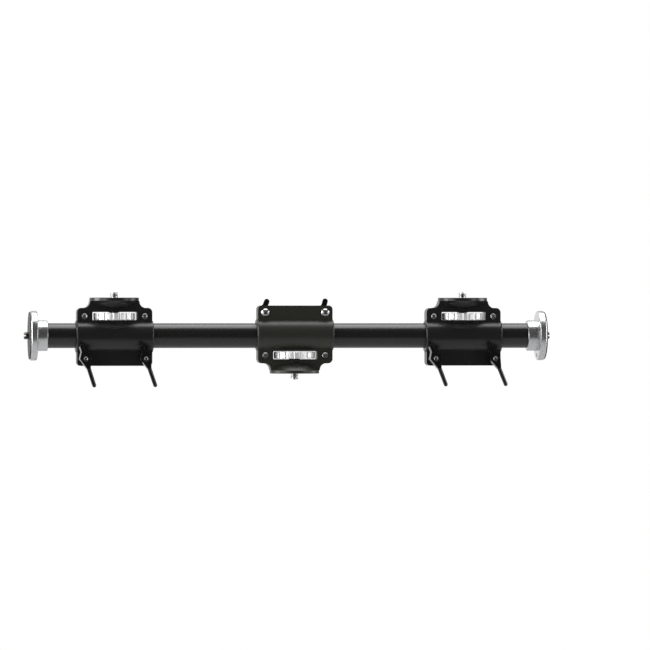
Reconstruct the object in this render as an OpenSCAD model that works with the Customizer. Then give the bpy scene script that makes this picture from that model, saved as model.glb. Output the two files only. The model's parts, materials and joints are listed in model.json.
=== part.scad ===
// Tripod crossbar: a round tube with a screw plate on each end and three clamp brackets on it.
// The centre bracket hangs with its seat down, where it screws on a stand, and its seat face
// is the origin. The bar lies along X, Z is up, and the side brackets' seats face up.

/* [Bar] */
// Length over the faces of the two end plates
bar_length = 630; // [585:1:900]
// Outside diameter of the tube
tube_d = 30; // [28:0.5:32]
// Wall of the tube
tube_wall = 2; // [1:0.25:4]
// Distance from the middle of the bar to the left clamp
left_spread = 212; // [140:1:235]
// Distance from the middle of the bar to the right clamp
right_spread = 214; // [140:1:235]
// How far the middle of the bar lies to the left of the centre clamp
bar_offset = 7.6; // [0:0.1:30]

/* [End plates] */
// Diameter of the flange
flange_d = 60; // [54:1:80]
// Thickness of the flange
flange_t = 8; // [6:0.5:14]
// Rounding of the flange's edges
flange_round = 1.5; // [0.4:0.1:2]
// Wall of the collar round the tube
collar_wall = 3.4; // [2:0.1:6]
// Length of the collar
collar_l = 13; // [8:0.5:20]
// Width of the bare metal rim round the face pad
pad_margin = 1.3; // [0.8:0.1:4]
// Thickness of the face pad
pad_t = 1.8; // [1:0.1:3]
// How much of the pad's thickness sits in the flange
pad_recess = 0.6; // [0.2:0.1:0.9]

/* [Camera studs] */
// Outside diameter of the 3/8 in stud
stud_d = 9.525; // [8:0.005:11]
// How far a clamp's stud stands out of its seat
stud_out = 6.8; // [6:0.1:12]
// How far an end plate's stud stands out of its pad
end_out = 6.2; // [5:0.1:12]
// Chamfer on a stud's tip
stud_chamfer = 1; // [0.3:0.1:1.5]
// Depth of the undercut at a stud's foot
relief_depth = 0.5; // [0.2:0.1:1]
// Width of the screwdriver slot in an end stud
slot_w = 1.6; // [1:0.1:2.4]
// Depth of the screwdriver slot
slot_depth = 2.2; // [1:0.1:3]

/* [Lock screws] */
// Diameter of the screws that lock a head on an end plate
lock_d = 5; // [3:0.5:6]
// Distance of the lock screws from the plate's centre
lock_radius = 24; // [22.5:0.5:25]
// Length of a lock screw
lock_l = 5.5; // [3:0.5:6]
// Number of lock screws in a plate
lock_count = 3; // [2:1:6]

/* [Clamp casting] */
// Length of the flat webs along the bar
clamp_l = 91; // [84:1:120]
// How far the barrel stands out past the webs at each end
barrel_extra = 1.5; // [0:0.25:4]
// Thickness over both webs
web_t = 20; // [18:0.5:26]
// Wall of the barrel round the liner
barrel_wall = 2.9; // [2.5:0.1:5]
// How far the barrel's outside sits below the tube's axis
barrel_drop = 1; // [0.5:0.1:1.5]
// Rounding of the barrel's ends
barrel_round = 2.4; // [0.5:0.1:2.8]
// Wall that keeps the liner in at each end
end_lip = 3; // [1:0.25:5]
// Gap between the two jaws under the tube
jaw_gap = 1.6; // [0.5:0.1:4]
// Metal between the wheel's window and the seat
crown = 17.4; // [16.9:0.1:22]
// Metal between the wheel's window and the shoulders
shoulder_over = 5; // [4:0.1:5.4]
// Rounding of the shoulders
shoulder_round = 5.5; // [2:0.5:6]
// Rounding of the wing's corners
wing_round = 4.6; // [2:0.2:6]
// Diameter of the seat
seat_d = 60; // [56:1:64]
// Thickness of the seat's rim
rim_t = 3.7; // [3:0.1:4.4]
// Rounding of the rim's upper edge
rim_round = 0.9; // [0.2:0.1:1.5]
// Radius of the bowl under the seat
bowl_r = 33; // [30:1:40]
// Metal between the window and the bowl's lowest point
bowl_over = 3.7; // [2.5:0.1:4.7]
// Radius of the cove between the seat and a shoulder
cove_r = 7.8; // [6:0.1:8.5]

/* [Thumb wheel] */
// Diameter of the wheel
wheel_d = 50; // [46:1:56]
// Thickness of the wheel
wheel_t = 8.4; // [6:0.1:10]
// How far the wheel and stud can slide up and down
wheel_play = 0.5; // [0.3:0.1:3]
// Number of flutes round the rim
flutes = 18; // [12:1:30]
// Radius of a flute
flute_r = 2.2; // [1.5:0.1:4]
// Depth of a flute
flute_depth = 1.2; // [0.5:0.1:2]
// Rounding of the wheel's edges
wheel_round = 1.1; // [0.3:0.1:2]
// Gap between the wheel and the window's ends
window_side = 2; // [1:0.25:4]
// Rounding of the window's corners
window_round = 1; // [0.5:0.25:4]
// Diameter of the boss round the stud in the window's ceiling
boss_d = 13; // [12:0.5:24]
// Height of that boss
boss_h = 0.6; // [0.4:0.1:2]

/* [Screws] */
// Diameter of the bolts that the levers tighten
bolt_d = 6; // [5:0.5:8]
// Distance from a bolt to the end of the web
bolt_inset = 9; // [8:0.1:12]
// Distance from the barrel's underside to the bolts
bolt_below = 6.8; // [6:0.1:10]
// Distance from the bolts to the wing's edge
wing_edge = 8.7; // [7:0.1:12]
// Diameter of a bolt's button head
button_d = 10.5; // [9:0.5:13]
// Height of a bolt's button head
button_h = 3.3; // [2.5:0.1:4]
// Diameter of the screws that join the two shells
shell_screw_d = 5; // [3:0.5:5]
// Distance from a shell screw to the end of the web
shell_inset = 9; // [8:0.1:12]
// Diameter of a shell screw's head
cap_d = 7.8; // [7:0.1:8.4]
// Height of a shell screw's head
cap_h = 3.6; // [2.5:0.1:5]
// Gap round a shell screw's head
cap_gap = 0.9; // [0.3:0.1:1.2]

/* [Levers] */
// Length from the bolt's axis to the tip of the arm
arm_l = 36.2; // [30:0.1:36.3]
// Diameter of the arm at its root
arm_root_d = 5.1; // [3:0.1:6]
// Diameter of the arm at its tip
arm_tip_d = 4.9; // [3.5:0.1:6]
// Length from the bolt's axis to the tip of the nose
nose_l = 18; // [14:0.1:22]
// Width of the nose at the lever's face
nose_w = 4.6; // [2.5:0.1:5.5]
// Half the width of the lever's head at its face
head_half = 6.8; // [6.6:0.1:7.6]
// How far the lever's flanks lean out from its face to its back
head_draft = 1; // [0.2:0.1:1.4]
// Thickness of the lever's head
head_t = 8; // [6:0.1:10]
// Rounding of the head's side corners
head_round = 1.2; // [0.8:0.1:2.5]
// Radius of the hub at the web
hub_r = 7.3; // [6.8:0.1:8]
// Radius of the hub under the head
hub_top_r = 6.3; // [6:0.1:6.6]
// Diameter of the threaded bush in the hub
bush_d = 9; // [8.5:0.1:10]
// Diameter of the screw that holds the lever on its bush
keeper_d = 3; // [2:0.5:3.5]
// Diameter of that screw's head
keeper_head_d = 6.5; // [5:0.1:6.8]
// Height of that screw's head
keeper_head_h = 2.5; // [1.5:0.1:3]
// Diameter of the washer under the hub
washer_d = 12; // [11:0.5:14]
// Thickness of that washer
washer_t = 1.2; // [0.8:0.1:2]

/* [Fits] */
// Wall of the liner between tube and barrel
liner_wall = 2; // [1:0.25:3]
// Radial gap between the tube and the liner
slide_gap = 0.05; // [0.02:0.01:0.1]
// Radial gap between the liner and the barrel
turn_gap = 0.05; // [0.02:0.01:0.1]
// Gap between parts that are fixed to each other
fit_gap = 0.02; // [0.01:0.01:0.05]
// Gap between faces that turn on each other
face_gap = 0.1; // [0.05:0.05:0.3]
// Radial gap round a screw in a plain hole
hole_gap = 0.2; // [0.1:0.05:0.5]
// Gap between the tube and an end lip
lip_gap = 0.6; // [0.3:0.1:1]

/* [Hidden] */
$fn = 96;
screw_fn = 48;
over = 1;           // how far a cutter runs past what it cuts
big = 200;          // side of the blocks that cut a casting in two

tube_r = tube_d / 2;
liner_in_r = tube_r + slide_gap;
liner_out_r = liner_in_r + liner_wall;
pocket_r = liner_out_r + turn_gap;
barrel_r = pocket_r + barrel_wall;
barrel_half = clamp_l / 2 + barrel_extra;
pocket_half = barrel_half - end_lip;
liner_slot = 2;     // lengthwise slit that lets the liner close on the tube

// heights in a clamp, from the tube's axis towards the seat
window_cut = 0.1;   // flat that the window leaves on the barrel's crown
window_low = barrel_r - barrel_drop - window_cut;
window_high = window_low + face_gap + wheel_t + wheel_play + boss_h + face_gap;
window_half = wheel_d / 2 + window_side;
window_mid = (window_low + window_high) / 2;
shoulder_z = window_high + shoulder_over;
seat_z = window_high + crown;
rim_low = seat_z - rim_t;
seat_r = seat_d / 2;
bowl_z = window_high + bowl_over + bowl_r;
bowl_x = seat_r - sqrt(bowl_r * bowl_r - pow(bowl_z - rim_low, 2));
trim_slope = 1.5;   // sideways run of the trimming cone for each millimetre of height
bolt_z = -(barrel_r + barrel_drop + bolt_below);
wing_z = bolt_z - wing_edge;

stud_r = stud_d / 2;
stud_play = 0.09;   // radial gap round a stud in the casting
stud_hole_r = stud_r + stud_play;
relief_w = 1.2;     // width of the undercut at a stud's foot
relief_over = 0.05; // the full diameter starts this far inside the seat

bolt_x = clamp_l / 2 - bolt_inset;
shell_x = clamp_l / 2 - shell_inset;
cap_sink = 0.4;     // how far a shell screw's head sits below the web
cap_recess = cap_h + cap_sink;
barrel_nut_wall = 0.9;
hex_ratio = 0.58;   // corner radius of a hex socket, as a share of the screw's own diameter
hex_depth = 0.55;   // depth of a hex socket, as a share of the head's height

// heights on a lever's axis, from the face of the web outwards
barrel_clear = 1.8; // gap that a lever's head keeps to the barrel
web_clear = barrel_r + barrel_clear;
bush_rim_h = 1.2;   // rim of the bush, between the washer and the hub
bush_rim_r = 5.8;
thread_gap = 0.05;
hub_gap = 0.2;      // gap between the bush's rim and the hub
bush_low = washer_t + face_gap;
hub_low = bush_low + bush_rim_h + hub_gap;
head_low = web_clear - web_t / 2;
head_high = head_low + head_t;
keeper_sink = 1;    // how far the keeper's head sits below the lever's face
keeper_seat = head_high - keeper_head_h - keeper_sink;
bush_rise = 1.2;    // how far the bush reaches up into the lever's head
bush_cap = 2;       // length of bush between the bolt's end and the keeper's side
keeper_reach = 0.9; // gap between the keeper's end and the bolt's end
bush_high = head_low + bush_rise;
bolt_end = bush_high - bush_cap;
neck_at = 11;       // distance from the bolt's axis at which the arm begins
nose_at = 9.5;      // distance from the bolt's axis at which the nose begins
widest_at = 1.8;    // how far the head's widest point sits towards the nose
slice_t = 0.1;      // thickness of the slices that a head is stretched between
arm_overlap = 2;    // how far the arm runs back into the head

axis_z = seat_z;
bar_x = -bar_offset;
bar_half = bar_length / 2;
flange_face = bar_half - (pad_t - pad_recess);
flange_back = flange_face - flange_t;
collar_end = flange_back - collar_l;
collar_r = tube_r + fit_gap + collar_wall;
pad_r = flange_d / 2 - pad_margin;
end_stud_tail = 6;  // length of an end stud behind the flange
end_stud_l = end_out + pad_t + flange_t + end_stud_tail;

// each clamp: name, place along the bar, whether its seat faces down, and its levers' angles,
// turned from straight down the web, seen from the levers' side
CLAMPS = [
    ["left", bar_x - left_spread, false, [17.8, 19.1]],
    ["centre", 0, true, [201, 195.5]],
    ["right", bar_x + right_spread, false, [21.1, 22.3]],
];
CLAMP_NODES = [
    "front_shell", "back_shell", "shell_screws", "shell_nuts", "liner", "thumb_wheel", "stud",
    "clamp_bolts", "washers", "lever_a", "bush_a", "keeper_a", "lever_b", "bush_b", "keeper_b",
];
BAR_NODES = [
    "tube", "left_flange", "left_pad", "left_end_stud", "left_lock_screws",
    "right_flange", "right_pad", "right_end_stud", "right_lock_screws",
];

black_paint = "#1b1b1d";
black_tube = "#222326";
black_lever = "#0c0c0d";
bare_metal = "#d4d5d6";
steel = "#a9a7a2";
pad_grey = "#4b4b4c";
nylon = "#3a3b3d";

// outlines, in the plane of the webs: x along the bar, y towards the seat

module rounded_rect(x0, y0, x1, y1, r) {
    translate([x0 + r, y0]) square([x1 - x0 - 2 * r, y1 - y0]);
    translate([x0, y0 + r]) square([x1 - x0, y1 - y0 - 2 * r]);
    for (x = [x0 + r, x1 - r], y = [y0 + r, y1 - r]) translate([x, y]) circle(r);
}

// wing, shoulders and the neck that sweeps up to the seat in two coves
module web_outline() {
    half = clamp_l / 2;
    rounded_rect(-half, wing_z, half, barrel_r / 2, wing_round);
    rounded_rect(-half, -barrel_r / 2, half, shoulder_z, shoulder_round);
    difference() {
        translate([-seat_r - cove_r, shoulder_z - over]) square([2 * (seat_r + cove_r), cove_r + over]);
        for (side = [-1, 1])
            translate([side * (seat_r + cove_r), shoulder_z + cove_r - 0.1]) circle(cove_r);
    }
    translate([-seat_r + 0.1, shoulder_z]) square([2 * seat_r - 0.2, rim_low + 0.5 - shoulder_z]);
}

// half section of the seat: a flat rim with a bowl under it
module seat_section() {
    translate([0, rim_low]) square([seat_r - rim_round, rim_t]);
    translate([0, rim_low]) square([seat_r, rim_t - rim_round]);
    translate([seat_r - rim_round, seat_z - rim_round]) circle(rim_round);
    intersection() {
        translate([bowl_x, bowl_z]) circle(bowl_r, $fn = 180);
        translate([0, window_high]) square([seat_r, rim_low + 0.5 - window_high]);
    }
}

module barrel_section() {
    e = barrel_round;
    translate([0, -barrel_half]) square([barrel_r - e, 2 * barrel_half]);
    translate([0, e - barrel_half]) square([barrel_r, 2 * (barrel_half - e)]);
    for (side = [-1, 1]) translate([barrel_r - e, side * (barrel_half - e)]) circle(e);
}

// places on a clamp

module along_bar() {
    rotate([0, 90, 0]) children();
}

// stands children on the web's front or back face, with +Z pointing out of it
module on_web(x, z, side) {
    translate([x, side * web_t / 2, z]) rotate([side < 0 ? 90 : -90, 0, 0]) children();
}

module at_bolts() {
    for (x = [-bolt_x, bolt_x]) translate([x, 0, bolt_z]) children();
}

module at_shell_screws() {
    for (x = [-shell_x, shell_x]) translate([x, 0, window_mid]) children();
}

// turns a cylinder so that it runs from the front web to the back web
module through_web(r) {
    rotate([90, 0, 0]) cylinder(r = r, h = web_t + 2 * over, center = true, $fn = screw_fn);
}

// the casting, before it is split

module casting() {
    difference() {
        union() {
            intersection() {
                rotate([90, 0, 0]) linear_extrude(web_t, center = true) web_outline();
                neck_trim();
            }
            translate([0, 0, -barrel_drop]) along_bar() rotate_extrude() barrel_section();
            rotate_extrude() seat_section();
        }
        along_bar() cylinder(r = tube_r + lip_gap, h = 2 * (barrel_half + over), center = true);
        along_bar() cylinder(r = pocket_r, h = 2 * pocket_half, center = true);
        wheel_window();
        cylinder(r = stud_hole_r, h = seat_z + over);
        at_bolts() through_web(bolt_d / 2 + hole_gap);
    }
}

// cone that keeps the top corners of the webs from standing out past the round seat
module neck_trim() {
    translate([0, 0, wing_z - over])
        cylinder(r1 = seat_r + trim_slope * (rim_low - wing_z + over), r2 = seat_r, h = rim_low - wing_z + over);
    translate([0, 0, rim_low - 0.1]) cylinder(r = seat_r, h = 1);
}

// slot for the thumb wheel, with a low boss round the stud in its ceiling
module wheel_window() {
    difference() {
        rotate([90, 0, 0])
            linear_extrude(2 * seat_d, center = true)
                rounded_rect(-window_half, window_low, window_half, window_high, window_round);
        translate([0, 0, window_high - boss_h]) cylinder(d = boss_d, h = boss_h + over);
    }
}

// recess for a screw or nut head, with the hole behind it, cut from one face of the web
module cap_pocket(side, shank_r) {
    for (x = [-shell_x, shell_x]) on_web(x, window_mid, side) {
        translate([0, 0, -cap_recess]) cylinder(r = cap_d / 2 + cap_gap, h = cap_recess + over, $fn = screw_fn);
        translate([0, 0, -web_t / 2 - over])
            cylinder(r = shank_r + hole_gap, h = web_t / 2 + over, $fn = screw_fn);
    }
}

// side is -1 for the front shell and 1 for the back one
module half_casting(side, shank_r) {
    difference() {
        casting();
        translate([-big / 2, side > 0 ? -big : 0, -big / 2]) cube(big);
        translate([-big / 2, -jaw_gap / 2, -big]) cube([big, jaw_gap, big]);
        cap_pocket(side, shank_r);
    }
}

module front_shell() {
    color(black_paint) half_casting(-1, shell_screw_d / 2);
}

module back_shell() {
    color(black_paint) half_casting(1, shell_screw_d / 2 + barrel_nut_wall);
}

// what holds the two shells together

module hex_socket(d, depth) {
    translate([0, 0, -depth]) cylinder(r = d * hex_ratio, h = depth + over, $fn = 6);
}

module cap_head() {
    translate([0, 0, -cap_recess]) difference() {
        cylinder(d = cap_d, h = cap_h, $fn = screw_fn);
        translate([0, 0, cap_h]) hex_socket(shell_screw_d * 0.8, cap_h * hex_depth);
    }
}

module shell_screws() {
    shank_l = web_t - 2 * cap_recess - 1.5;
    color(steel) for (x = [-shell_x, shell_x]) on_web(x, window_mid, -1) {
        cap_head();
        translate([0, 0, -cap_recess - shank_l]) cylinder(d = shell_screw_d, h = shank_l, $fn = screw_fn);
    }
}

module shell_nuts() {
    sleeve_l = web_t / 2 - cap_recess - 0.5;
    color(steel) for (x = [-shell_x, shell_x]) on_web(x, window_mid, 1) {
        cap_head();
        translate([0, 0, -cap_recess - sleeve_l]) difference() {
            cylinder(r = shell_screw_d / 2 + barrel_nut_wall, h = sleeve_l, $fn = screw_fn);
            translate([0, 0, -over]) cylinder(r = shell_screw_d / 2 + fit_gap, h = sleeve_l, $fn = screw_fn);
        }
    }
}

// each bolt's button head is on the back web, and its shank runs out of the front one
module clamp_bolts() {
    dome_r = (pow(button_d / 2, 2) + pow(button_h, 2)) / (2 * button_h);
    color(steel) for (x = [-bolt_x, bolt_x]) on_web(x, bolt_z, 1) {
        difference() {
            intersection() {
                cylinder(d = button_d, h = button_h, $fn = screw_fn);
                translate([0, 0, button_h - dome_r - 0.01]) sphere(dome_r + 0.4);
            }
            translate([0, 0, button_h]) hex_socket(bolt_d * 0.66, button_h * hex_depth);
        }
        translate([0, 0, -web_t - bolt_end])
            cylinder(d = bolt_d, h = web_t + bolt_end, $fn = screw_fn);
    }
}

module washers() {
    color(steel) for (x = [-bolt_x, bolt_x]) on_web(x, bolt_z, -1) difference() {
        cylinder(d = washer_d, h = washer_t, $fn = screw_fn);
        translate([0, 0, -over]) cylinder(r = bolt_d / 2 + hole_gap, h = washer_t + 2 * over, $fn = screw_fn);
    }
}

module liner() {
    color(nylon) along_bar() difference() {
        cylinder(r = liner_out_r, h = 2 * (pocket_half - face_gap), center = true);
        cylinder(r = liner_in_r, h = 2 * barrel_half, center = true);
        translate([0, -liner_slot / 2, -barrel_half]) cube([pocket_r + over, liner_slot, 2 * barrel_half]);
    }
}

// thumb wheel and camera stud

wheel_low = window_low + face_gap;

module wheel_section() {
    r = wheel_d / 2;
    square([r - wheel_round, wheel_t]);
    translate([0, wheel_round]) square([r, wheel_t - 2 * wheel_round]);
    for (y = [wheel_round, wheel_t - wheel_round]) translate([r - wheel_round, y]) circle(wheel_round, $fn = 32);
}

module thumb_wheel() {
    color(bare_metal) translate([0, 0, wheel_low]) difference() {
        rotate_extrude() wheel_section();
        translate([0, 0, -over]) cylinder(r = stud_r + fit_gap, h = wheel_t + 2 * over);
        for (i = [0:flutes - 1]) rotate(i * 360 / flutes)
            translate([wheel_d / 2 + flute_r - flute_depth, 0, -over])
                cylinder(r = flute_r, h = wheel_t + 2 * over, $fn = 32);
    }
}

// stud from z = 0 to its tip, undercut where it leaves a face at height foot
module plain_stud(foot, l) {
    difference() {
        union() {
            cylinder(r = stud_r, h = l - stud_chamfer, $fn = screw_fn);
            translate([0, 0, l - stud_chamfer])
                cylinder(r1 = stud_r, r2 = stud_r - stud_chamfer, h = stud_chamfer, $fn = screw_fn);
        }
        translate([0, 0, foot - relief_over - relief_w]) difference() {
            cylinder(r = stud_r + over, h = relief_w);
            translate([0, 0, -over]) cylinder(r = stud_r - relief_depth, h = relief_w + 2 * over, $fn = screw_fn);
        }
    }
}

// the stud is fixed in the wheel, flush with its lower face
module stud(lift) {
    color(steel) translate([0, 0, wheel_low])
        plain_stud(seat_z - wheel_low - lift, seat_z + stud_out - wheel_low);
}

// levers, in their own frame: +Z along the bolt out of the web, arm along -Y

module on_bolt(end, angle) {
    on_web(end * bolt_x, bolt_z, -1) rotate(angle) children();
}

// thin slices of the head and of the nose, lean millimetres wider than at the lever's face
module head_slice(lean) {
    linear_extrude(slice_t) hull() {
        for (side = [-1, 1])
            translate([side * (head_half + lean - head_round), widest_at]) circle(head_round, $fn = 32);
        translate([-nose_w / 2 - lean, nose_at]) square([nose_w + 2 * lean, slice_t]);
        translate([0, -neck_at]) circle(d = arm_root_d + lean, $fn = 32);
    }
}

module nose_slice(lean) {
    w = nose_w + 2 * lean;
    linear_extrude(slice_t) {
        translate([-w / 2, nose_at - over]) square([w, nose_l - nose_at - w / 2 + over]);
        translate([0, nose_l - w / 2]) circle(d = w, $fn = 32);
    }
}

// a cast head, narrower at its face so that it can leave its mould
module drafted_head() {
    hull() {
        translate([0, 0, head_low]) head_slice(head_draft);
        translate([0, 0, head_high - slice_t]) head_slice(0);
    }
    hull() {
        translate([0, 0, head_low]) nose_slice(head_draft);
        translate([0, 0, head_high - slice_t]) nose_slice(0);
    }
}

module lever() {
    arm_z = (head_low + head_high) / 2;
    tip_at = arm_l - arm_tip_d / 2;
    color(black_lever) difference() {
        union() {
            translate([0, 0, hub_low]) cylinder(r1 = hub_r, r2 = hub_top_r, h = head_low + over - hub_low);
            drafted_head();
            translate([0, -neck_at + arm_overlap, arm_z]) rotate([90, 0, 0])
                cylinder(d1 = arm_root_d, d2 = arm_tip_d, h = tip_at - neck_at + arm_overlap, $fn = 32);
            translate([0, -tip_at, arm_z]) sphere(d = arm_tip_d, $fn = 32);
        }
        translate([0, 0, hub_low - over]) cylinder(r = bush_d / 2 + fit_gap, h = bush_high + fit_gap + over - hub_low);
        cylinder(r = keeper_d / 2 + hole_gap, h = head_high + over, $fn = screw_fn);
        translate([0, 0, keeper_seat]) cylinder(r = keeper_head_d / 2 + 0.35, h = head_t, $fn = screw_fn);
    }
}

// bush that is threaded on the bolt and keyed in the hub
module bush() {
    color(steel) translate([0, 0, bush_low]) difference() {
        union() {
            cylinder(d = bush_d, h = bush_high - bush_low);
            cylinder(r = bush_rim_r, h = bush_rim_h);
        }
        translate([0, 0, -over]) cylinder(r = bolt_d / 2 + thread_gap, h = bolt_end + 0.5 - bush_low + over);
        cylinder(r = keeper_d / 2 + thread_gap, h = bush_high, $fn = screw_fn);
    }
}

// screw through the lever's head into the bush
module keeper() {
    color(steel) difference() {
        union() {
            translate([0, 0, keeper_seat]) cylinder(d = keeper_head_d, h = keeper_head_h, $fn = screw_fn);
            translate([0, 0, bolt_end + keeper_reach])
                cylinder(d = keeper_d, h = keeper_seat + 0.1 - bolt_end - keeper_reach, $fn = screw_fn);
        }
        translate([0, 0, keeper_seat + keeper_head_h]) hex_socket(keeper_d, keeper_head_h * hex_depth);
    }
}

// the bar: x runs out of the end that is drawn

module tube() {
    color(black_tube) along_bar() difference() {
        cylinder(r = tube_r, h = 2 * flange_back, center = true);
        cylinder(r = tube_r - tube_wall, h = 2 * bar_half, center = true);
    }
}

// turns what is drawn with +Z outwards into the left or right end of the bar
module at_end(side) {
    rotate([0, side * 90, 0]) rotate(side < 0 ? 180 : 0) children();
}

module lock_ring() {
    for (i = [0:lock_count - 1]) rotate(i * 360 / lock_count) translate([lock_radius, 0, 0]) children();
}

module flange_section() {
    r = flange_d / 2;
    e = flange_round;
    translate([0, flange_back]) square([r - e, flange_t]);
    translate([0, flange_back + e]) square([r, flange_t - 2 * e]);
    for (y = [flange_back + e, flange_face - e]) translate([r - e, y]) circle(e, $fn = 32);
    translate([0, collar_end + e]) square([collar_r, collar_l]);
    translate([0, collar_end]) square([collar_r - e, collar_l]);
    translate([collar_r - e, collar_end + e]) circle(e, $fn = 32);
}

module flange() {
    color(bare_metal) difference() {
        rotate_extrude() flange_section();
        translate([0, 0, collar_end - over]) cylinder(r = tube_r + fit_gap, h = collar_l + over);
        translate([0, 0, flange_face - pad_recess]) cylinder(r = pad_r + fit_gap, h = over);
        cylinder(r = stud_r + fit_gap, h = bar_half, $fn = screw_fn);
        lock_ring() translate([0, 0, flange_back - over])
            cylinder(r = lock_d / 2 + fit_gap, h = flange_t + 2 * over, $fn = screw_fn);
    }
}

module pad() {
    color(pad_grey) translate([0, 0, bar_half - pad_t]) difference() {
        cylinder(r = pad_r, h = pad_t);
        translate([0, 0, -over]) cylinder(r = stud_r + fit_gap, h = pad_t + 2 * over, $fn = screw_fn);
        lock_ring() translate([0, 0, -over])
            cylinder(r = lock_d / 2 + hole_gap, h = pad_t + 2 * over, $fn = screw_fn);
    }
}

module end_stud() {
    color(steel) translate([0, 0, bar_half + end_out - end_stud_l]) difference() {
        plain_stud(end_stud_l - end_out, end_stud_l);
        translate([-slot_w / 2, -stud_d, end_stud_l - slot_depth]) cube([slot_w, 2 * stud_d, slot_depth + over]);
    }
}

// set screws, driven from behind the flange, flush with the pad's bed
module lock_screws() {
    color(steel) lock_ring() translate([0, 0, flange_face - pad_recess - lock_l]) difference() {
        cylinder(d = lock_d, h = lock_l, $fn = screw_fn);
        rotate([180, 0, 0]) hex_socket(lock_d * 0.8, lock_l * 0.5);
    }
}

// assembly

module bar() {
    translate([bar_x, 0, axis_z]) children();
}

module clamp(c) {
    translate([c[1], 0, axis_z]) rotate([c[2] ? 180 : 0, 0, 0]) children();
}

bar() tube();

for (end = [["left", -1], ["right", 1]]) {
    bar() at_end(end[1]) flange();
    bar() at_end(end[1]) pad();
    bar() at_end(end[1]) end_stud();
    bar() at_end(end[1]) lock_screws();
}

for (c = CLAMPS) {
    // a wheel drops to the barrel, or to the seat's side where the clamp hangs upside down
    lift = c[2] ? wheel_play : 0;
    clamp(c) front_shell();
    clamp(c) back_shell();
    clamp(c) shell_screws();
    clamp(c) shell_nuts();
    clamp(c) liner();
    clamp(c) translate([0, 0, lift]) thumb_wheel();
    clamp(c) translate([0, 0, lift]) stud(lift);
    clamp(c) clamp_bolts();
    clamp(c) washers();
    for (l = [["_a", -1, c[3][0]], ["_b", 1, c[3][1]]]) {
        clamp(c) on_bolt(l[1], l[2]) lever();
        clamp(c) on_bolt(l[1], l[2]) bush();
        clamp(c) on_bolt(l[1], l[2]) keeper();
    }
}
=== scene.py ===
# %% [markdown]
# # A tripod crossbar
#
# The object is a horizontal camera bar: a black tube with a bright screw plate on each end and
# three cast clamps on it. The middle clamp hangs upside down, because its seat is what the bar
# is mounted by, and the outer two carry camera heads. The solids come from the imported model,
# already grouped in the bodies that move. This notebook dresses them: it softens their edges the
# way casting and turning do, cuts real threads, and gives every piece a finish made of nodes.

# %% Load the frame
import json
import math

import bmesh
import bpy
from mathutils import Matrix, Vector

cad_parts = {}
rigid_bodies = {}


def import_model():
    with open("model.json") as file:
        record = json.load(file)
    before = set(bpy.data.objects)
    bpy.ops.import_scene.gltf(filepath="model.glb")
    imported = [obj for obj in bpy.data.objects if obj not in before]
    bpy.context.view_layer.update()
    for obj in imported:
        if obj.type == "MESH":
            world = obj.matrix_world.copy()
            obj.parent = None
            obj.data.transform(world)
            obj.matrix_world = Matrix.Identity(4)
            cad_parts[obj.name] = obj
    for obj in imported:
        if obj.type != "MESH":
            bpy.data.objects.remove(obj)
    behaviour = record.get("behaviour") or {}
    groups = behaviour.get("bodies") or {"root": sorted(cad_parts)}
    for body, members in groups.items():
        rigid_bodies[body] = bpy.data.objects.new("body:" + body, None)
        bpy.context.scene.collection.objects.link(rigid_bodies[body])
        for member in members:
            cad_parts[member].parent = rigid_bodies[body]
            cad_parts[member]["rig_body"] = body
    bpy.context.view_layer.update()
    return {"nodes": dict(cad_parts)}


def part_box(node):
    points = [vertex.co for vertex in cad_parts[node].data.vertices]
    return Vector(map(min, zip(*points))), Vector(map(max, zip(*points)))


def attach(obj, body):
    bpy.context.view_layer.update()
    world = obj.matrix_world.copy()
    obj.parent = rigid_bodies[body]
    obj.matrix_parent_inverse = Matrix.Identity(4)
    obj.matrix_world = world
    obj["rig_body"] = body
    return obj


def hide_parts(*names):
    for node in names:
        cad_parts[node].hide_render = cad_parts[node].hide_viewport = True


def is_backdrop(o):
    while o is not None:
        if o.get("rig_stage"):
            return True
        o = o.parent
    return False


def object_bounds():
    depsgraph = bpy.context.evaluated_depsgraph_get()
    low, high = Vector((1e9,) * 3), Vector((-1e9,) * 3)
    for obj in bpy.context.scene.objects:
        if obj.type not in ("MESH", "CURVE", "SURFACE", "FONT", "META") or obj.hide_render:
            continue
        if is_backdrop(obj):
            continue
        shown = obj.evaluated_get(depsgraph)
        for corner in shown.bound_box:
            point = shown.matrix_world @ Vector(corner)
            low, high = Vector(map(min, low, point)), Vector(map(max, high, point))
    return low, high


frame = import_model()
nodes = frame["nodes"]

# %% [markdown]
# The model is in metres, and the pieces are small, so sizes below are written in millimetres
# and multiplied by one named constant. The clamps differ only in place, in which way up they
# hang and in their names, so one table of them drives every step that makes a clamp's pieces.

# %% Names and places
MM = 0.001
CLAMPS = ("left", "centre", "right")
ENDS = ("left", "right")
UP = {"left": 1, "centre": -1, "right": 1}
tube_low, tube_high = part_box("tube")
axis_z = (tube_low.z + tube_high.z) / 2


def middle(node):
    low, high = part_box(node)
    return (low + high) / 2


clamp_x = {name: middle(name + "_thumb_wheel").x for name in CLAMPS}
print("tube axis at", round(axis_z, 4), "clamps at", {k: round(v, 4) for k, v in clamp_x.items()})

# %% [markdown]
# ## Finishes
#
# A finish is a material whose numbers change over the surface. Powder coat has a faint orange
# peel, turned metal has grooves that run round its axis, and every handled edge is painted a
# little brighter than the face beside it, partly as rubbed wear and partly as a painted highlight
# for the light a rounded edge catches. Effects that several finishes share are node groups with
# named inputs, built once and placed in each material with its own values.


# %% Node helpers
def new_group(name, inputs, outputs):
    group = bpy.data.node_groups.new(name, "ShaderNodeTree")
    for label, kind, value in inputs:
        socket = group.interface.new_socket(name=label, in_out="INPUT", socket_type=kind)
        if value is not None:
            socket.default_value = value
    for label, kind in outputs:
        group.interface.new_socket(name=label, in_out="OUTPUT", socket_type=kind)
    start = group.nodes.new("NodeGroupInput")
    end = group.nodes.new("NodeGroupOutput")
    return group, start, end


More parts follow.
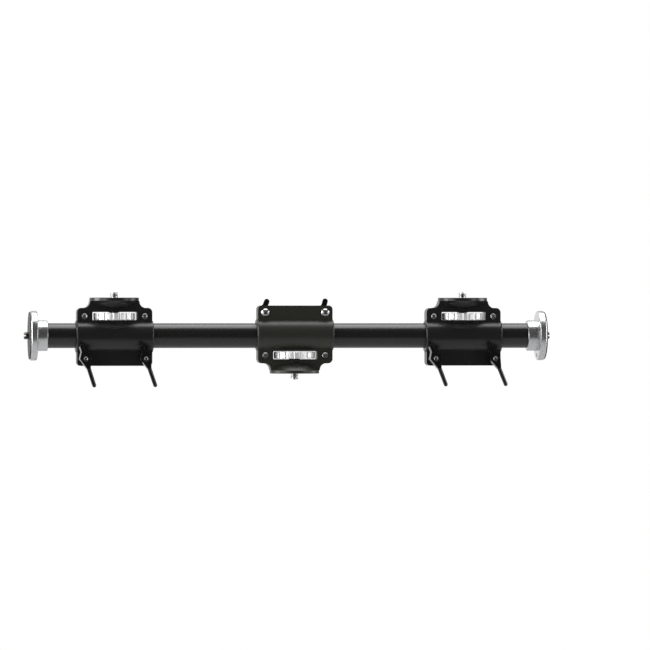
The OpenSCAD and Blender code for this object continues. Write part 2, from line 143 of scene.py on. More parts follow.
def math_node(tree, operation, a, b, clamp=False):
    node = tree.nodes.new("ShaderNodeMath")
    node.operation = operation
    node.use_clamp = clamp
    for socket, value in zip(node.inputs, (a, b)):
        if isinstance(value, (int, float)):
            socket.default_value = value
        else:
            tree.links.new(value, socket)
    return node.outputs[0]


# %% [markdown]
# Powder coat melts into a skin that is never quite flat. Two noises stand for it: a coarse one
# for the slow waves and a fine one for the grain. The group gives a height for the Bump node
# and a mask that lets the roughness wander by a few hundredths.

# %% Orange peel group
PEEL_DETAIL = 2.0
GRAIN_SHARE = 0.5

peel_group, start, end = new_group(
    "Orange peel",
    [("Vector", "NodeSocketVector", None), ("Wave scale", "NodeSocketFloat", 400.0),
     ("Grain scale", "NodeSocketFloat", 1800.0)],
    [("Height", "NodeSocketFloat"), ("Mask", "NodeSocketFloat")],
)
wave = peel_group.nodes.new("ShaderNodeTexNoise")
grain = peel_group.nodes.new("ShaderNodeTexNoise")
for noise, label in ((wave, "Wave scale"), (grain, "Grain scale")):
    noise.inputs["Detail"].default_value = PEEL_DETAIL
    peel_group.links.new(start.outputs["Vector"], noise.inputs["Vector"])
    peel_group.links.new(start.outputs[label], noise.inputs["Scale"])
fine = math_node(peel_group, "MULTIPLY", grain.outputs["Fac"], GRAIN_SHARE)
height = math_node(peel_group, "ADD", wave.outputs["Fac"], fine)
peel_group.links.new(height, end.inputs["Height"])
peel_group.links.new(wave.outputs["Fac"], end.inputs["Mask"])

# %% [markdown]
# Paint pulls thin over a sharp edge and hands rub it there, and a rounded edge catches a thin
# line of light. This group paints both as one lighter edge colour: part wear, part painted
# highlight. The Bevel node looks a little way round each point and returns the normal of a
# rounded corner. Where that differs from the true normal there is an edge, so the difference is
# an edge mask that works on any mesh.

# %% Edge wear and painted highlight group
EDGE_REACH = 0.6 * MM
EDGE_SAMPLES = 4
EDGE_GAIN = 6.0
SPECKLE_DETAIL = 3.0

edge_wear_and_sheen_group, start, end = new_group(
    "Edge wear and sheen",
    [("Vector", "NodeSocketVector", None), ("Break up", "NodeSocketFloat", 900.0)],
    [("Mask", "NodeSocketFloat")],
)
# The lighter edge colour this mask brings in is part wear, part painted highlight.
bevel = edge_wear_and_sheen_group.nodes.new("ShaderNodeBevel")
bevel.samples = EDGE_SAMPLES
bevel.inputs["Radius"].default_value = EDGE_REACH
true_normal = edge_wear_and_sheen_group.nodes.new("ShaderNodeNewGeometry")
compare = edge_wear_and_sheen_group.nodes.new("ShaderNodeVectorMath")
compare.operation = "DOT_PRODUCT"
edge_wear_and_sheen_group.links.new(bevel.outputs["Normal"], compare.inputs[0])
edge_wear_and_sheen_group.links.new(true_normal.outputs["Normal"], compare.inputs[1])
spread = math_node(edge_wear_and_sheen_group, "SUBTRACT", 1.0, compare.outputs["Value"])
spread = math_node(edge_wear_and_sheen_group, "MULTIPLY", spread, EDGE_GAIN, clamp=True)
speckle = edge_wear_and_sheen_group.nodes.new("ShaderNodeTexNoise")
speckle.inputs["Detail"].default_value = SPECKLE_DETAIL
edge_wear_and_sheen_group.links.new(start.outputs["Vector"], speckle.inputs["Vector"])
edge_wear_and_sheen_group.links.new(start.outputs["Break up"], speckle.inputs["Scale"])
broken = math_node(edge_wear_and_sheen_group, "MULTIPLY", spread, speckle.outputs["Fac"], clamp=True)
edge_wear_and_sheen_group.links.new(broken, end.inputs["Mask"])

# %% [markdown]
# A lathe leaves a spiral so fine that it reads as rings. The rings texture measures distance
# from its own axis, so a Mapping node first moves the piece's axis to the origin. A second,
# slower ring breaks the regularity the way a worn tool does.

# %% Turned rings group
FINE_WOBBLE = 0.6
FINE_DETAIL = 2.0
SLOW_WOBBLE = 3.0
SLOW_RATE = 0.13
SLOW_SHARE = 0.6


def ring_texture(group, axis, wobble):
    rings = group.nodes.new("ShaderNodeTexWave")
    rings.wave_type = "RINGS"
    rings.rings_direction = axis
    rings.inputs["Distortion"].default_value = wobble
    return rings


ring_groups = {}
for axis in ("X", "Z"):
    group, start, end = new_group(
        "Turned rings about " + axis,
        [("Vector", "NodeSocketVector", None), ("Rings", "NodeSocketFloat", 1500.0)],
        [("Height", "NodeSocketFloat"), ("Mask", "NodeSocketFloat")],
    )
    rings = ring_texture(group, axis, FINE_WOBBLE)
    rings.inputs["Detail"].default_value = FINE_DETAIL
    group.links.new(start.outputs["Vector"], rings.inputs["Vector"])
    group.links.new(start.outputs["Rings"], rings.inputs["Scale"])
    slow = ring_texture(group, axis, SLOW_WOBBLE)
    slow_scale = math_node(group, "MULTIPLY", start.outputs["Rings"], SLOW_RATE)
    group.links.new(start.outputs["Vector"], slow.inputs["Vector"])
    group.links.new(slow_scale, slow.inputs["Scale"])
    slow_height = math_node(group, "MULTIPLY", slow.outputs["Fac"], SLOW_SHARE)
    both = math_node(group, "ADD", rings.outputs["Fac"], slow_height)
    group.links.new(both, end.inputs["Height"])
    group.links.new(slow.outputs["Fac"], end.inputs["Mask"])
    ring_groups[axis] = group
print("node groups:", [g.name for g in bpy.data.node_groups])


# %% [markdown]
# Every finish starts the same way: Object coordinates, a Mapping node, one height group for the
# bump, and a roughness that wanders between two values. The constant numbers sit on the
# shader's own sockets.

# %% Finish builder
def place_group(tree, group, vector, **values):
    node = tree.nodes.new("ShaderNodeGroup")
    node.node_tree = group
    tree.links.new(vector, node.inputs["Vector"])
    for label, value in values.items():
        node.inputs[label.replace("_", " ")].default_value = value
    return node


def mix_colours(tree, mask, low, high):
    mix = tree.nodes.new("ShaderNodeMix")
    mix.data_type = "RGBA"
    mix.inputs[6].default_value = (*low, 1)
    mix.inputs[7].default_value = (*high, 1)
    tree.links.new(mask, mix.inputs[0])
    return mix.outputs[2]


def map_range(tree, value, low, high, from_low=0.0, from_high=1.0):
    node = tree.nodes.new("ShaderNodeMapRange")
    node.inputs["From Min"].default_value = from_low
    node.inputs["From Max"].default_value = from_high
    node.inputs["To Min"].default_value = low
    node.inputs["To Max"].default_value = high
    tree.links.new(value, node.inputs["Value"])
    return node.outputs["Result"]


# %% [markdown]
# One function makes every finish. It takes the surface group and that group's values, the
# colour of a face and the lighter colour of its edges, which is part wear and part painted
# highlight, the two ends of the roughness, and the bump's strength and depth. A turned finish
# also takes the point its rings run round. Any other named value goes straight to the shader's
# socket of that name.

# %% Finish
def finish(
    name, group, values, colour, wear_and_sheen, rough, bump, centre=(0, 0, 0), stretch=(1, 1, 1), **sockets
):
    material = bpy.data.materials.new(name)
    material.use_nodes = True
    tree = material.node_tree
    shader = tree.nodes["Principled BSDF"]
    for label, value in sockets.items():
        shader.inputs[label.replace("_", " ")].default_value = value
    place = tree.nodes.new("ShaderNodeTexCoord")
    mapping = tree.nodes.new("ShaderNodeMapping")
    mapping.inputs["Location"].default_value = [-c * s for c, s in zip(centre, stretch)]
    mapping.inputs["Scale"].default_value = stretch
    tree.links.new(place.outputs["Object"], mapping.inputs["Vector"])
    surface = place_group(tree, group, mapping.outputs["Vector"], **values)
    edges = place_group(tree, edge_wear_and_sheen_group, place.outputs["Object"])
    # Edges are painted lighter here: part wear, part a painted highlight.
    paint = mix_colours(tree, edges.outputs["Mask"], colour, wear_and_sheen)
    tree.links.new(paint, shader.inputs["Base Color"])
    tree.links.new(map_range(tree, surface.outputs["Mask"], *rough), shader.inputs["Roughness"])
    relief = tree.nodes.new("ShaderNodeBump")
    relief.inputs["Strength"].default_value = bump[0]
    relief.inputs["Distance"].default_value = bump[1]
    tree.links.new(surface.outputs["Height"], relief.inputs["Height"])
    tree.links.new(relief.outputs["Normal"], shader.inputs["Normal"])
    return material


def grey(value, warm=0.0):
    return (value * (1 + warm), value, value * (1 - warm))


# %% [markdown]
# The castings are semi-gloss black powder coat, the tube is satin anodised, and the levers are
# the glossiest black on the part. They are all nearly black, so what tells them apart is how
# wide and how bright their highlights are. That is set by roughness and by the specular level.
# The middle clamp's coat is a little duller than that of the other two, and its black is painted
# lighter and warmer: painted light, a lit copy of the same coat.

# %% Black finishes
CASTING_PEEL = {"Wave_scale": 350.0, "Grain_scale": 1600.0}

# The second colour of each finish is its edges' colour, lighter as wear and as a painted
# highlight.
casting_black = finish(
    "Casting black", peel_group, CASTING_PEEL, colour=grey(0.010), wear_and_sheen=grey(0.03),
    rough=(0.26, 0.34), bump=(0.04, 0.2 * MM), Specular_IOR_Level=0.5,
)
tube_black = finish(
    "Tube black", peel_group, {"Wave_scale": 500.0, "Grain_scale": 2600.0},
    colour=grey(0.0085, 0.02), wear_and_sheen=grey(0.03), rough=(0.24, 0.32), bump=(0.08, 0.1 * MM),
    stretch=(0.03, 1, 1), Specular_IOR_Level=0.6,
)
lever_black = finish(
    "Lever black", peel_group, {"Wave_scale": 600.0, "Grain_scale": 2500.0},
    colour=grey(0.003), wear_and_sheen=grey(0.02), rough=(0.12, 0.20), bump=(0.05, 0.1 * MM),
    Specular_IOR_Level=0.6,
)
# Painted light: the same black coat, painted lighter and warmer for the warmer light on the
# middle clamp.
centre_casting_painted_light = finish(
    "Casting black, painted warm light", peel_group, CASTING_PEEL, colour=(0.021, 0.0208, 0.0155),
    wear_and_sheen=grey(0.04), rough=(0.34, 0.42), bump=(0.04, 0.2 * MM), Specular_IOR_Level=0.5,
)
nylon_black = finish(
    "Nylon", peel_group, {"Wave_scale": 900.0, "Grain_scale": 4000.0}, colour=grey(0.02),
    wear_and_sheen=grey(0.05), rough=(0.5, 0.6), bump=(0.2, 0.1 * MM),
)
pad_grey = finish(
    "Pad grey", ring_groups["X"], {"Rings": 500.0}, colour=grey(0.016), wear_and_sheen=grey(0.06),
    rough=(0.5, 0.65), bump=(0.25, 0.2 * MM), centre=(0, 0, axis_z),
)
print("black finishes:", len(bpy.data.materials))

# %% [markdown]
# Turned metal gets rings. A flange is turned about the bar's own axis, so its rings run round
# X. A thumb wheel is turned about its stud, so its rings run round Z, and each wheel's finish is
# centred on that wheel. The wheels are brushed bright and rough, so that they stay pale where
# they mirror nothing, and so their Metallic value is a little under one.

# %% Turned finishes
flange_bright = finish(
    "Turned flange", ring_groups["X"], {"Rings": 900.0}, colour=grey(0.63, -0.01),
    wear_and_sheen=grey(0.70), rough=(0.28, 0.34), bump=(0.08, 0.1 * MM), centre=(0, 0, axis_z),
    Metallic=1.0,
)
wheel_bright = {
    name: finish(
        "Turned wheel " + name, ring_groups["Z"], {"Rings": 900.0}, colour=grey(0.95),
        wear_and_sheen=grey(0.98), rough=(0.50, 0.60), bump=(0.2, 0.1 * MM),
        centre=(clamp_x[name], 0, 0), Metallic=0.8,
    )
    for name in CLAMPS
}
print("with turned finishes:", len(bpy.data.materials))

# %% [markdown]
# Plated steel keeps the faint waves of the surface under its plating. Each kind of fastener
# has its own tone and gloss, as they seldom come from one bath. So the kinds share everything
# but their colours, their roughness and the size of the waves.


# %% Plated finishes
# The second colour is the edges' colour: wear and a painted highlight.
def plated(name, wave_scale, colour, wear_and_sheen, rough):
    values = {"Wave_scale": wave_scale, "Grain_scale": 3000.0}
    return finish(
        name, peel_group, values, colour, wear_and_sheen, rough, bump=(0.05, 0.1 * MM), Metallic=1.0
    )


stud_steel = plated("Plated stud", 300.0, grey(0.58, 0.01), grey(0.7), (0.30, 0.40))
end_steel = plated("Bronzed stud", 300.0, (0.13, 0.115, 0.10), (0.3, 0.27, 0.24), (0.26, 0.36))
keeper_dark = plated("Keeper screw", 500.0, grey(0.42), grey(0.6), (0.14, 0.20))
screw_steel = plated("Screw steel", 500.0, grey(0.44), grey(0.6), (0.24, 0.32))
cap_steel = plated("Cap screw steel", 500.0, grey(0.70), grey(0.8), (0.14, 0.20))
print("finishes:", len(bpy.data.materials))

# %% [markdown]
# A node's name says whose it is and what kind of piece it is, such as left_washers. So one
# table from kind to finish dresses them all, and the exceptions are written out: the tube, of
# which there is one, the middle clamp's castings, whose black is painted lighter and warmer as
# painted light, and the wheels, which each have a finish of their own.

# %% Which node wears which finish
FINISH_OF = {
    "front_shell": casting_black, "back_shell": casting_black, "shell_screws": cap_steel,
    "shell_nuts": cap_steel, "liner": nylon_black, "stud": stud_steel, "clamp_bolts": screw_steel,
    "washers": screw_steel, "lever_a": lever_black, "lever_b": lever_black, "bush_a": screw_steel,
    "bush_b": screw_steel, "keeper_a": keeper_dark, "keeper_b": keeper_dark,
    "flange": flange_bright, "pad": pad_grey, "end_stud": end_steel, "lock_screws": screw_steel,
}


def finish_of(node):
    if node == "tube":
        return tube_black
    owner, kind = node.split("_", 1)
    # The middle clamp's castings take the copy painted lighter and warmer as painted light.
    if owner == "centre" and kind.endswith("shell"):
        return centre_casting_painted_light
    return wheel_bright[owner] if kind == "thumb_wheel" else FINISH_OF[kind]


def dress(piece, node):
    piece.data.materials.clear()
    piece.data.materials.append(finish_of(node))


for name, node in nodes.items():
    dress(node, name)
print("dressed nodes:", len(nodes))

# %% [markdown]
# ## Soft edges
#
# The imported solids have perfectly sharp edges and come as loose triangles. No cast or turned
# part is so sharp: light always finds a thin bright line on each edge. So a copy of the solid
# is merged into one skin, its flat faces are cleaned of their triangles, and every edge that
# turns by more than a set angle is bevelled. The copy takes the place of the solid in the
# picture. Its normals are weighted by the size of the faces, which keeps the broad faces flat
# to the light, and they are baked into the mesh.


# %% Piece maker
def body_name(node):
    return nodes[node]["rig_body"]


def to_piece(bm, name, node, smooth_angle=35):
    """Make the mesh a piece that rides on the node's body and stands for the node."""
    mesh = bpy.data.meshes.new(name)
    bm.to_mesh(mesh)
    bm.free()
    mesh.shade_smooth()
    mesh.set_sharp_from_angle(angle=math.radians(smooth_angle))
    piece = bpy.data.objects.new(name, mesh)
    bpy.context.scene.collection.objects.link(piece)
    weigh = piece.modifiers.new("weigh", "WEIGHTED_NORMAL")
    weigh.keep_sharp = True
    bpy.context.view_layer.update()
    shaped = piece.evaluated_get(bpy.context.evaluated_depsgraph_get())
    piece.data = bpy.data.meshes.new_from_object(shaped)
    piece.modifiers.clear()
    bpy.data.meshes.remove(mesh)
    piece.data.name = name
    dress(piece, node)
    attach(piece, body_name(node))
    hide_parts(node)
    return piece


# %% [markdown]
# A casting comes out of its mould with rounded edges and corners, and its coat rounds them a
# little more. Half a millimetre suits a bracket of this size. The bevel could be a modifier,
# but the operator in bmesh lets the angle and the corners be chosen before the faces are made.

# %% Softened castings
WELD = 0.002 * MM
FLAT_ANGLE = math.radians(0.4)
SHELL_EDGE = 0.5 * MM


def merged(node):
    """A copy of the node's mesh as one skin, with its flat faces whole."""
    bm = bmesh.new()
    bm.from_mesh(nodes[node].data)
    bmesh.ops.remove_doubles(bm, verts=bm.verts, dist=WELD)
    bmesh.ops.dissolve_limit(
        bm, angle_limit=FLAT_ANGLE, verts=bm.verts, edges=bm.edges, delimit={"NORMAL"}
    )
    return bm


def bevelled(bm, width, segments=2, angle=28):
    limit = math.radians(angle)
    sharp = [e for e in bm.edges if e.is_manifold and e.calc_face_angle(0) > limit]
    bmesh.ops.bevel(
        bm, geom=sharp, offset=width, offset_type="OFFSET", segments=segments, profile=0.5,
        affect="EDGES", clamp_overlap=True, material=-1, miter_outer="ARC",
    )
    return bm


def softened(node, width, bm=None):
    """The node's mesh, or one made from it, with soft edges, as a piece."""
    bm = bevelled(bm or merged(node), width)
    bmesh.ops.triangulate(bm, faces=[f for f in bm.faces if len(f.verts) > 4])
    return to_piece(bm, "soft_" + node, node)


for name in CLAMPS:
    for side in ("front", "back"):
        shell = softened(f"{name}_{side}_shell", SHELL_EDGE)
    print(name, "shell faces:", len(shell.data.polygons))

# %% [markdown]
# The smaller metal pieces get the same treatment with a width of their own. A die-cast lever has
# a broad flat chamfer all round its head, which shows as a bright ribbon, so it is chamfered
# first and softened after. Bolts, bushes and washers only have the small chamfer that a header
# or a press leaves on them.

# %% Small pieces
SMALL_EDGES = {
    "thumb_wheel": 0.3 * MM, "clamp_bolts": 0.25 * MM, "washers": 0.2 * MM,
    "bush_a": 0.2 * MM, "bush_b": 0.2 * MM,
}
END_EDGE = 0.25 * MM
LEVER_CHAMFER = 1.1 * MM
LEVER_EDGE = 0.2 * MM

for name in CLAMPS:
    for kind, width in SMALL_EDGES.items():
        softened(f"{name}_{kind}", width)
    for letter in ("a", "b"):
        node = f"{name}_lever_{letter}"
        chamfered = bevelled(merged(node), LEVER_CHAMFER, segments=1, angle=40)
        lever = softened(node, LEVER_EDGE, bm=chamfered)
    print(name, "lever faces:", len(lever.data.polygons))
for end in ENDS:
    for kind in ("flange", "pad", "lock_screws"):
        softened(f"{end}_{kind}", END_EDGE)

# %% [markdown]
# ## Camera studs
#
# A 3/8 in stud has sixteen threads to the inch. The solid model shows it as a plain cylinder.
# The real one is rolled from a bar: a ridge with flanks at sixty degrees winds round a core.
# So the core is a profile spun about the stud's axis, and the ridge is a small loop spun along
# a helix from the undercut to the tip, with its ends closed. At the tip both are trimmed to a
# cone. A screw texture in the bump would be quicker, but the outline would stay straight.

# %% Thread sizes
PITCH = 25.4 / 16 * MM
MAJOR = 4.7625 * MM
MINOR = 3.80 * MM
SINK = 0.3 * MM
ROOT_FLAT = 0.18 * MM
END_GAP = 0.1 * PITCH
FOOT_CHAMFER = 0.3 * MM
UNDERCUT = 1.25 * MM
UNDERCUT_SLOPE = 0.3 * MM
TIP_CHAMFER = 1.0 * MM
TIP_LIP = 0.1 * MM
THREAD_WELD = 0.001 * MM
TURN_STEPS = 40


# %% Thread maker
def spun(bm, profile, closed=False, turns=1.0, rise=0.0):
    """Spin a profile of (radius, height) points about Z, straight round or along a helix."""
    verts = [bm.verts.new((r, 0, z)) for r, z in profile]
    pairs = list(zip(verts, verts[1:])) + ([(verts[-1], verts[0])] if closed else [])
    edges = [bm.edges.new(pair) for pair in pairs]
    steps = round(TURN_STEPS * turns)
    bmesh.ops.spin(
        bm, geom=verts + edges, cent=(0, 0, 0), axis=(0, 0, 1), dvec=(0, 0, rise / steps),
        angle=math.tau * turns, steps=steps, use_merge=rise == 0,
    )


def ridge_profile():
    flank = (MAJOR - MINOR) * math.tan(math.radians(30))
    crest = PITCH - 2 * flank - ROOT_FLAT
    return [
        (MINOR - SINK, 0), (MINOR, 0), (MAJOR, flank), (MAJOR, flank + crest),
        (MINOR, 2 * flank + crest), (MINOR - SINK, 2 * flank + crest),
    ]


def core_profile(length, thread_from):
    neck = thread_from - UNDERCUT
    return [
        (0, 0), (MAJOR - FOOT_CHAMFER, 0), (MAJOR, FOOT_CHAMFER),
        (MAJOR, neck - UNDERCUT_SLOPE), (MINOR, neck + UNDERCUT_SLOPE),
        (MINOR, length - TIP_LIP), (MINOR - TIP_LIP, length), (0, length),
    ]


def threaded_stud(length, thread_from):
    """A stud along +Z from 0 to its tip, with an undercut where its thread begins."""
    bm = bmesh.new()
    turns = (length - thread_from - 2 * END_GAP) / PITCH - 1
    spun(bm, ridge_profile(), closed=True, turns=turns, rise=turns * PITCH)
    bmesh.ops.holes_fill(bm, edges=[e for e in bm.edges if e.is_boundary], sides=0)
    bmesh.ops.translate(bm, verts=bm.verts, vec=(0, 0, thread_from + END_GAP))
    spun(bm, core_profile(length, thread_from))
    for vert in bm.verts:
        limit = MAJOR - max(0, vert.co.z - (length - TIP_CHAMFER))
        radius = vert.co.xy.length
        if radius > limit:
            vert.co.xy *= limit / radius
    bmesh.ops.remove_doubles(bm, verts=bm.verts, dist=THREAD_WELD)
    bmesh.ops.recalc_face_normals(bm, faces=bm.faces)
    return bm


# %% [markdown]
# The camera studs stand in the thumb wheels and come out through the seats. Each is made along
# Z from zero and then moved and turned into place, so that one function serves a stud that
# points up, one that points down and the ones that point along the bar.

# %% Camera studs
def placed(bm, origin, direction):
    """Turn a mesh made along +Z into place, so that it points along direction from origin."""
    turn = Vector((0, 0, 1)).rotation_difference(Vector(direction)).to_matrix().to_4x4()
    bmesh.ops.transform(bm, matrix=Matrix.Translation(origin) @ turn, verts=bm.verts)
    return bm


for name in CLAMPS:
    node = name + "_stud"
    low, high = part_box(node)
    shell_low, shell_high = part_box(name + "_front_shell")
    seat = shell_high.z if UP[name] > 0 else shell_low.z
    foot = Vector((clamp_x[name], 0, low.z if UP[name] > 0 else high.z))
    bm = threaded_stud(high.z - low.z, abs(seat - foot.z))
    stud = to_piece(placed(bm, foot, (0, 0, UP[name])), "threaded_" + node, node)
    print(name, "stud", round((high.z - low.z) / MM, 2), "mm, faces", len(stud.data.polygons))

# %% [markdown]
# The studs in the end plates are screwed in from outside, so they have a screwdriver slot. It is
# sawn after threading, which here is one cut with a thin block. A boolean does it, because the
# slot crosses the turns of the thread at every height.

# %% Cutting
def to_object(bm, name):
    mesh = bpy.data.meshes.new(name)
    bm.to_mesh(mesh)
    bm.free()
    thing = bpy.data.objects.new(name, mesh)
    bpy.context.scene.collection.objects.link(thing)
    return thing


def cut(bm, cutter_bm):
    """The first mesh less the second, through one boolean."""
    body = to_object(bm, "body")
    cutter = to_object(cutter_bm, "cutter")
    saw = body.modifiers.new("saw", "BOOLEAN")
    saw.operation = "DIFFERENCE"
    saw.solver = "EXACT"
    saw.use_self = True
    saw.object = cutter
    bpy.context.view_layer.update()
    result = bmesh.new()
    result.from_object(body, bpy.context.evaluated_depsgraph_get())
    for thing in (body, cutter):
        mesh = thing.data
        bpy.data.objects.remove(thing)
        bpy.data.meshes.remove(mesh)
    return result


# %% End studs
SLOT_WIDTH = 1.6 * MM
SLOT_DEPTH = 2.2 * MM
SLOT_LENGTH = 3 * MAJOR


def block(size, centre):
    bm = bmesh.new()
    bmesh.ops.create_cube(bm, size=1.0)
    bmesh.ops.scale(bm, verts=bm.verts, vec=size)
    bmesh.ops.translate(bm, verts=bm.verts, vec=centre)
    return bm


for end in ENDS:
    node = end + "_end_stud"
    low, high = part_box(node)
    pad_low, pad_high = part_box(end + "_pad")
    outward = -1 if end == "left" else 1
    face = pad_low.x if outward < 0 else pad_high.x
    foot = Vector((high.x if outward < 0 else low.x, 0, axis_z))
    length = high.x - low.x
    slot = block((SLOT_WIDTH, SLOT_LENGTH, 2 * SLOT_DEPTH), (0, 0, length))
    bm = cut(threaded_stud(length, abs(face - foot.x)), slot)
    stud = to_piece(placed(bm, foot, (outward, 0, 0)), "threaded_" + node, node)
    print(end, "end stud", round(length / MM, 2), "mm, faces", len(stud.data.polygons))

# %% [markdown]
# ## Key sockets
#
# The screws that hold the shells, their barrel nuts and the screws that keep the levers all take
# a hexagon key. The mouth of such a socket is dished by the punch that makes it, and the dish
# catches a light on each side. So a shallow cone is taken out of every head. The nuts are plain
# in the solid model and get their socket here too, as a six-sided bar taken out of them.

# %% Socket sizes
SOCKET_ACROSS = 3.0 * MM
SOCKET_CORNER = SOCKET_ACROSS / math.sqrt(3)
SOCKET_DEPTH = 2.2 * MM
DISH_SLOPE = math.tan(math.radians(25))
DISH_REACH = {"screw": (0.46, 0.78), "nut": (0.60, 0.88)}
DISH_SEGMENTS = 48
HEAD_EDGE = {"screw": 0.2 * MM, "nut": 0.12 * MM}
PROUD = 0.3 * MM


# %% Socket maker
def taper_along_y(segments, wide, narrow, depth, centre, outward):
    """A cone or a bar along Y, with its wide end outward."""
    bm = bmesh.new()
    bmesh.ops.create_cone(
        bm, cap_ends=True, segments=segments, radius1=narrow, radius2=wide, depth=depth
    )
    bmesh.ops.rotate(
        bm, verts=bm.verts, matrix=Matrix.Rotation(-outward * math.pi / 2, 3, "X")
    )
    bmesh.ops.translate(bm, verts=bm.verts, vec=centre)
    return bm


def keyed(node, outward, kind):
    """The node's one head, or its two side by side, with a dish and, in a nut, a socket."""
    low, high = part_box(node)
    radius = (high.z - low.z) / 2
    face = low.y if outward < 0 else high.y
    z = (low.z + high.z) / 2
    two_heads = high.x - low.x > 3 * radius
    inner, outer = (share * radius for share in DISH_REACH[kind])
    dish = (outer - inner) * DISH_SLOPE
    mouth = outer + PROUD / DISH_SLOPE
    bm = merged(node)
    for x in (low.x + radius, high.x - radius) if two_heads else ((low.x + high.x) / 2,):
        if kind == "nut":
            at_face = (x, face, z)
            bm = cut(bm, taper_along_y(
                6, SOCKET_CORNER, SOCKET_CORNER, 2 * SOCKET_DEPTH, at_face, outward
            ))
        half_out = (x, face + outward * (PROUD - dish) / 2, z)
        bm = cut(bm, taper_along_y(DISH_SEGMENTS, mouth, inner, dish + PROUD, half_out, outward))
    return softened(node, HEAD_EDGE[kind], bm=bm)


# %% [markdown]
# The screw heads of a clamp all face the side its levers are on, and the nuts face the other
# way. The middle clamp hangs turned over, so its front is the other side too.

# %% Screws and nuts
for name in CLAMPS:
    front = -UP[name]
    screws = keyed(name + "_shell_screws", front, "screw")
    nuts = keyed(name + "_shell_nuts", -front, "nut")
    keepers = [keyed(f"{name}_keeper_{letter}", front, "screw") for letter in ("a", "b")]
    print(name, "faces:", [len(thing.data.polygons) for thing in (screws, nuts, *keepers)])

# %% [markdown]
# ## Light, floor and camera
#
# The photograph was taken from a little to the left, level with the bar, with a long lens. So
# the camera stands far off, turned by a few degrees, and its focal length is worked out from
# how wide a strip of the object's plane the picture covers.

# %% Camera
YAW = math.radians(7.2)
DISTANCE = 6.5
FRAME_WIDTH = 0.790
SENSOR = 36
TARGET = Vector((0.0375, 0.0, 0.0589))

look = Vector((math.sin(YAW), math.cos(YAW), 0))
camera_data = bpy.data.cameras.new("camera")
camera_data.sensor_width = SENSOR
camera_data.lens = SENSOR * DISTANCE / FRAME_WIDTH
camera_data.clip_start = 0.1
camera_data.clip_end = 100
camera = bpy.data.objects.new("camera", camera_data)
bpy.context.scene.collection.objects.link(camera)
camera.location = TARGET - look * DISTANCE
camera.rotation_mode = "QUATERNION"
camera.rotation_quaternion = look.to_track_quat("-Z", "Y")
bpy.context.scene.camera = camera
print("focal length", round(camera_data.lens, 1))

# %% [markdown]
# The lights are large and soft. A panel above and slightly behind draws the line along the top
# of the tube, and tall ones on the left and right whiten the faces that turn to the sides. Two
# weaker panels in front light the wheels and studs. Black gloss shows its lamps more than its
# colour, so it is the panels' places and sizes that shape it.

# %% Lights
BAR_CENTRE = (0, 0, 0.05)
# name: place, point it faces, width, height, watts
PANELS = {
    "top panel": ((0.12, 0.28, 1.2), (0.12, 0.28, 0.05), 1.25, 1.15, 19),
    "left panel": ((-1.7, 0.05, 0.4), BAR_CENTRE, 0.8, 1.6, 36),
    "front left panel": ((-1.3, -0.9, 0.15), BAR_CENTRE, 0.7, 0.9, 5.5),
    "front right panel": ((1.25, -1.05, 0.15), BAR_CENTRE, 0.5, 0.8, 3.5),
    "right panel": ((1.7, 0.1, 0.3), BAR_CENTRE, 0.8, 1.4, 18),
}
for name, (place, toward, width, height, power) in PANELS.items():
    data = bpy.data.lights.new(name, "AREA")
    data.shape = "RECTANGLE"
    data.size = width
    data.size_y = height
    data.energy = power
    lamp = bpy.data.objects.new(name, data)
    bpy.context.scene.collection.objects.link(lamp)
    lamp.location = place
    lamp.rotation_mode = "QUATERNION"
    lamp.rotation_quaternion = (Vector(toward) - Vector(place)).to_track_quat("-Z", "Y")
print("lights:", len(bpy.data.lights))

# %% [markdown]
# The world does three jobs. To the camera, and through glass, it is plain white. To a mirror it
# is a studio that is dark in front and bright behind, more so on the left: the bright side is
# what draws a rim on every rounded black piece. To a matt surface it is a weak even fill.

# %% World
DARK_FROM = -0.1
BRIGHT_AT = 1.0
FALLOFF = 2.4
SIDE_REACH = 0.3
LEFT_SHARE = 1.6
RIGHT_SHARE = 0.3
BEHIND_GLOW = 0.92
FRONT_GLOW = 0.08
ROOM_GLOW = 0.4

bpy.context.scene.view_settings.view_transform = "Standard"
world = bpy.data.worlds.new("studio")
bpy.context.scene.world = world
world.use_nodes = True
tree = world.node_tree
tree.nodes.clear()


def background(colour, glow):
    node = tree.nodes.new("ShaderNodeBackground")
    node.inputs["Color"].default_value = (colour, colour, colour, 1)
    node.inputs["Strength"].default_value = glow
    return node


def mix_shaders(share, first, second):
    mix = tree.nodes.new("ShaderNodeMixShader")
    tree.links.new(share, mix.inputs[0])
    tree.links.new(first.outputs[0], mix.inputs[1])
    tree.links.new(second.outputs[0], mix.inputs[2])
    return mix


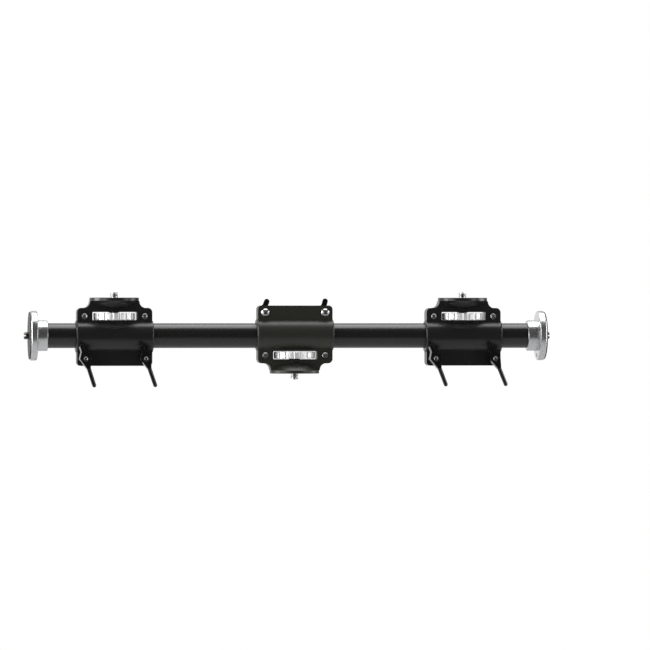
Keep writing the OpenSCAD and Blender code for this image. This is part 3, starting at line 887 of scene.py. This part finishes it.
way = tree.nodes.new("ShaderNodeTexCoord")
split = tree.nodes.new("ShaderNodeSeparateXYZ")
tree.links.new(way.outputs["Generated"], split.inputs[0])
depth = map_range(tree, split.outputs["Y"], 0.0, 1.0, DARK_FROM, BRIGHT_AT)
across = map_range(
    tree, split.outputs["X"], LEFT_SHARE, RIGHT_SHARE, -SIDE_REACH, SIDE_REACH
)
behind = math_node(tree, "MULTIPLY", math_node(tree, "POWER", depth, FALLOFF), across)
behind = math_node(tree, "MULTIPLY", behind, BEHIND_GLOW)
mirrored = background(0.8, 1.0)
tree.links.new(math_node(tree, "ADD", behind, FRONT_GLOW), mirrored.inputs["Strength"])

rays = tree.nodes.new("ShaderNodeLightPath")
lit = mix_shaders(rays.outputs["Is Glossy Ray"], background(1.0, ROOM_GLOW), mirrored)
seen = math_node(
    tree, "ADD", rays.outputs["Is Camera Ray"], rays.outputs["Is Transmission Ray"], clamp=True
)
blend = mix_shaders(seen, lit, background(1.0, 1.0))
out = tree.nodes.new("ShaderNodeOutputWorld")
tree.links.new(blend.outputs[0], out.inputs["Surface"])
print("world nodes:", len(tree.nodes))

# %% [markdown]
# The floor is a plain disc, far enough below the bar to stay out of the picture from the front.
# It is a pale grey, so that it gives back a little light from below and takes a soft shadow.

# %% Floor
FLOOR_RADIUS = 1.4
FLOOR_LEVEL = -0.46
FLOOR_SEGMENTS = 96
FLOOR_GREY = 0.42
FLOOR_ROUGH = 0.9

bm = bmesh.new()
bmesh.ops.create_circle(bm, cap_ends=True, segments=FLOOR_SEGMENTS, radius=FLOOR_RADIUS)
bmesh.ops.translate(bm, verts=bm.verts, vec=(0, 0, FLOOR_LEVEL))
floor = to_object(bm, "floor")
floor_paint = bpy.data.materials.new("Floor paint")
floor_paint.use_nodes = True
shader = floor_paint.node_tree.nodes["Principled BSDF"]
shader.inputs["Base Color"].default_value = (*grey(FLOOR_GREY), 1)
shader.inputs["Roughness"].default_value = FLOOR_ROUGH
floor.data.materials.append(floor_paint)
floor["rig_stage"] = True
print("floor at", FLOOR_LEVEL)

# %% [markdown]
# Last, the box of the dressed model is measured, leaving out the floor.

# %% Size of the dressed model
low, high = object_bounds()
